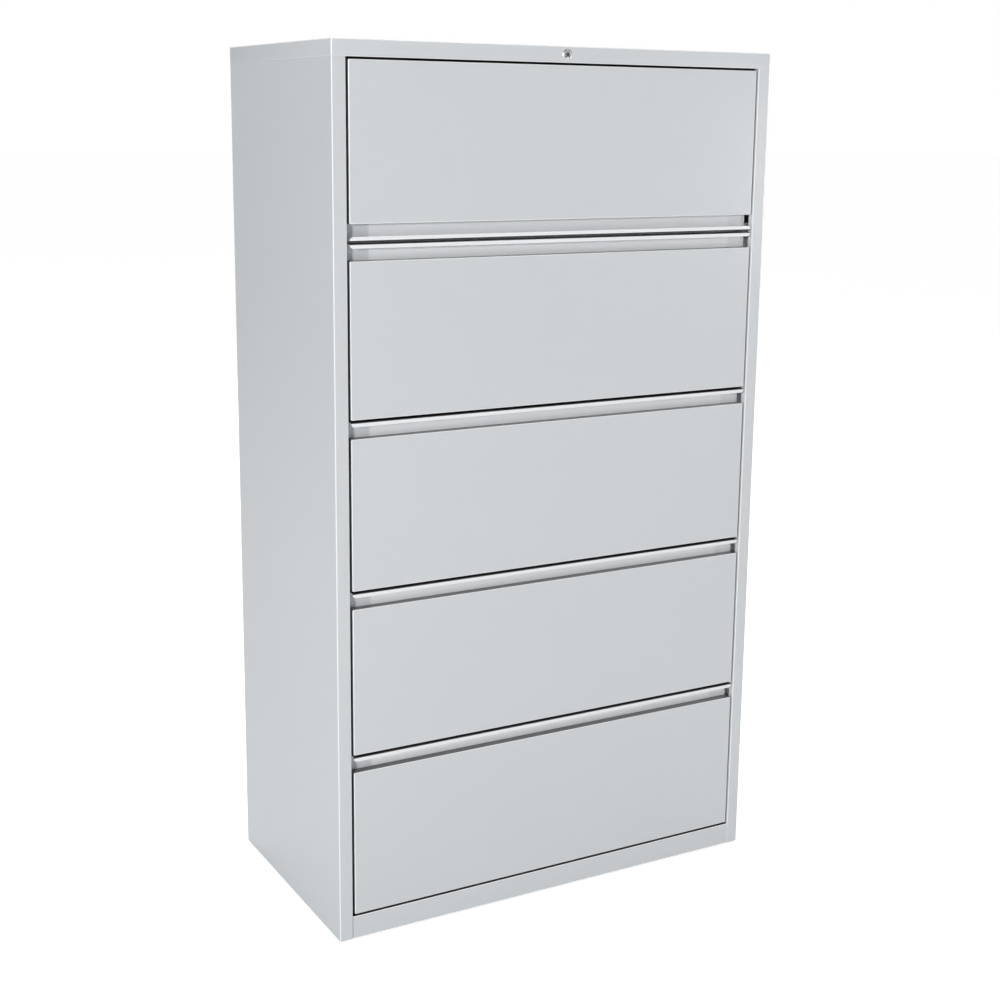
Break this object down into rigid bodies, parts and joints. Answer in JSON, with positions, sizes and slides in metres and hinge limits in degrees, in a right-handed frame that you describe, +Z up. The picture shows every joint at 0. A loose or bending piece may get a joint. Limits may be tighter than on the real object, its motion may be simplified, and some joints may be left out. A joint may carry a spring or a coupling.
{
  "type": "lateral file cabinet",
  "caption": "Tall lateral file cabinet in grey painted steel, with a receding door over full-width file drawers with recessed pulls and a lock.",
  "frame": {"origin": "on the floor, under the middle of the cabinet", "axes": "+Z up, +X to the right of someone facing the drawers, -Y towards that person"},
  "size_m": [0.9144, 0.4924, 1.632],
  "materials": {
    "cabinet_paint": "satin powder coat, light cool grey",
    "inner_paint": "thin grey powder coat",
    "zinc_plate": "bright zinc plate",
    "lock_chrome": "polished nickel-chrome plate",
    "carriage_nylon": "moulded black nylon",
    "glide_steel": "zinc-plated steel",
    "ballast_steel": "raw hot-rolled plate"
  },
  "bodies": {
    "cabinet": {"left_side_panel": "cabinet_paint", "right_side_panel": "cabinet_paint", "top_cap": "cabinet_paint", "base_rail": "cabinet_paint", "back_panel": "cabinet_paint", "back_panel_rivets": "zinc_plate", "base_pan": "inner_paint", "counterweight": "ballast_steel", "compartment_shelf": "inner_paint", "front_left_upright": "inner_paint", "front_right_upright": "inner_paint", "rear_left_upright": "inner_paint", "rear_right_upright": "inner_paint", "door_tracks": "zinc_plate", "lock_housing": "lock_chrome", "lock_guides": "zinc_plate", "glide_nuts": "zinc_plate", "drawer_1_slide_outers": "zinc_plate", "drawer_2_slide_outers": "zinc_plate", "drawer_3_slide_outers": "zinc_plate", "drawer_4_slide_outers": "zinc_plate"},
    "drawer_1": {"drawer_1_front": "cabinet_paint", "drawer_1_liner": "inner_paint", "drawer_1_tray": "inner_paint", "drawer_1_hang_rails": "zinc_plate", "drawer_1_slide_inners": "zinc_plate"},
    "drawer_1_middle_slides": {"drawer_1_slide_middles": "zinc_plate"},
    "drawer_2": {"drawer_2_front": "cabinet_paint", "drawer_2_liner": "inner_paint", "drawer_2_tray": "inner_paint", "drawer_2_hang_rails": "zinc_plate", "drawer_2_slide_inners": "zinc_plate"},
    "drawer_2_middle_slides": {"drawer_2_slide_middles": "zinc_plate"},
    "drawer_3": {"drawer_3_front": "cabinet_paint", "drawer_3_liner": "inner_paint", "drawer_3_tray": "inner_paint", "drawer_3_hang_rails": "zinc_plate", "drawer_3_slide_inners": "zinc_plate"},
    "drawer_3_middle_slides": {"drawer_3_slide_middles": "zinc_plate"},
    "drawer_4": {"drawer_4_front": "cabinet_paint", "drawer_4_liner": "inner_paint", "drawer_4_tray": "inner_paint", "drawer_4_hang_rails": "zinc_plate", "drawer_4_slide_inners": "zinc_plate"},
    "drawer_4_middle_slides": {"drawer_4_slide_middles": "zinc_plate"},
    "door": {"door_front": "cabinet_paint", "door_liner": "inner_paint", "door_hinge_brackets": "zinc_plate"},
    "door_carriage": {"door_carriages": "carriage_nylon", "door_hinge_pins": "zinc_plate", "door_tie_bar": "zinc_plate"},
    "lock_plug": {"lock_plug": "lock_chrome", "lock_cam": "zinc_plate"},
    "lock_link": {"lock_link": "zinc_plate"},
    "lock_bar": {"lock_bar": "zinc_plate", "lock_bar_head": "zinc_plate"},
    "glide_front_left": {"glide_front_left": "glide_steel"},
    "glide_front_right": {"glide_front_right": "glide_steel"},
    "glide_rear_left": {"glide_rear_left": "glide_steel"},
    "glide_rear_right": {"glide_rear_right": "glide_steel"}
  },
  "joints": [
    {"name": "drawer_1_slide", "type": "slide", "parent": "cabinet", "child": "drawer_1", "axis": [0, -1, 0], "range_m": [0, 0.4]},
    {"name": "drawer_1_extension", "type": "slide", "parent": "cabinet", "child": "drawer_1_middle_slides", "axis": [0, -1, 0], "range_m": [0, 0.201]},
    {"name": "drawer_2_slide", "type": "slide", "parent": "cabinet", "child": "drawer_2", "axis": [0, -1, 0], "range_m": [0, 0.4]},
    {"name": "drawer_2_extension", "type": "slide", "parent": "cabinet", "child": "drawer_2_middle_slides", "axis": [0, -1, 0], "range_m": [0, 0.201]},
    {"name": "drawer_3_slide", "type": "slide", "parent": "cabinet", "child": "drawer_3", "axis": [0, -1, 0], "range_m": [0, 0.4]},
    {"name": "drawer_3_extension", "type": "slide", "parent": "cabinet", "child": "drawer_3_middle_slides", "axis": [0, -1, 0], "range_m": [0, 0.201]},
    {"name": "drawer_4_slide", "type": "slide", "parent": "cabinet", "child": "drawer_4", "axis": [0, -1, 0], "range_m": [0, 0.4]},
    {"name": "drawer_4_extension", "type": "slide", "parent": "cabinet", "child": "drawer_4_middle_slides", "axis": [0, -1, 0], "range_m": [0, 0.201]},
    {"name": "door_carriage_slide", "type": "slide", "parent": "cabinet", "child": "door_carriage", "axis": [0, 1, 0], "range_m": [0, 0.301]},
    {"name": "door_lift", "type": "hinge", "parent": "door_carriage", "child": "door", "pos_m": [0, -0.212, 1.564], "axis": [-1, 0, 0], "range_deg": [0, 90]},
    {"name": "lock_turn", "type": "hinge", "parent": "cabinet", "child": "lock_plug", "pos_m": [0, -0.2445, 1.6175], "axis": [0, -1, 0], "range_deg": [0, 90]},
    {"name": "lock_link_slide", "type": "slide", "parent": "cabinet", "child": "lock_link", "axis": [1, 0, 0], "range_m": [0, 0.0061]},
    {"name": "lock_bar_slide", "type": "slide", "parent": "cabinet", "child": "lock_bar", "axis": [0, 0, -1], "range_m": [0, 0.006]},
    {"name": "glide_front_left_screw", "type": "slide", "parent": "cabinet", "child": "glide_front_left", "axis": [0, 0, -1], "range_m": [0, 0.02]},
    {"name": "glide_front_right_screw", "type": "slide", "parent": "cabinet", "child": "glide_front_right", "axis": [0, 0, -1], "range_m": [0, 0.02]},
    {"name": "glide_rear_left_screw", "type": "slide", "parent": "cabinet", "child": "glide_rear_left", "axis": [0, 0, -1], "range_m": [0, 0.02]},
    {"name": "glide_rear_right_screw", "type": "slide", "parent": "cabinet", "child": "glide_rear_right", "axis": [0, 0, -1], "range_m": [0, 0.02]}
  ],
  "couplings": [
    {"joint": "drawer_1_extension", "follows": "drawer_1_slide", "ratio": 0.5},
    {"joint": "drawer_2_extension", "follows": "drawer_2_slide", "ratio": 0.5},
    {"joint": "drawer_3_extension", "follows": "drawer_3_slide", "ratio": 0.5},
    {"joint": "drawer_4_extension", "follows": "drawer_4_slide", "ratio": 0.5},
    {"joint": "door_carriage_slide", "follows": "door_lift", "m_per_rad": 0.19099},
    {"joint": "lock_link_slide", "follows": "lock_bar_slide", "ratio": 1},
    {"joint": "lock_turn", "follows": "lock_bar_slide", "rad_per_m": 261.8}
  ]
}
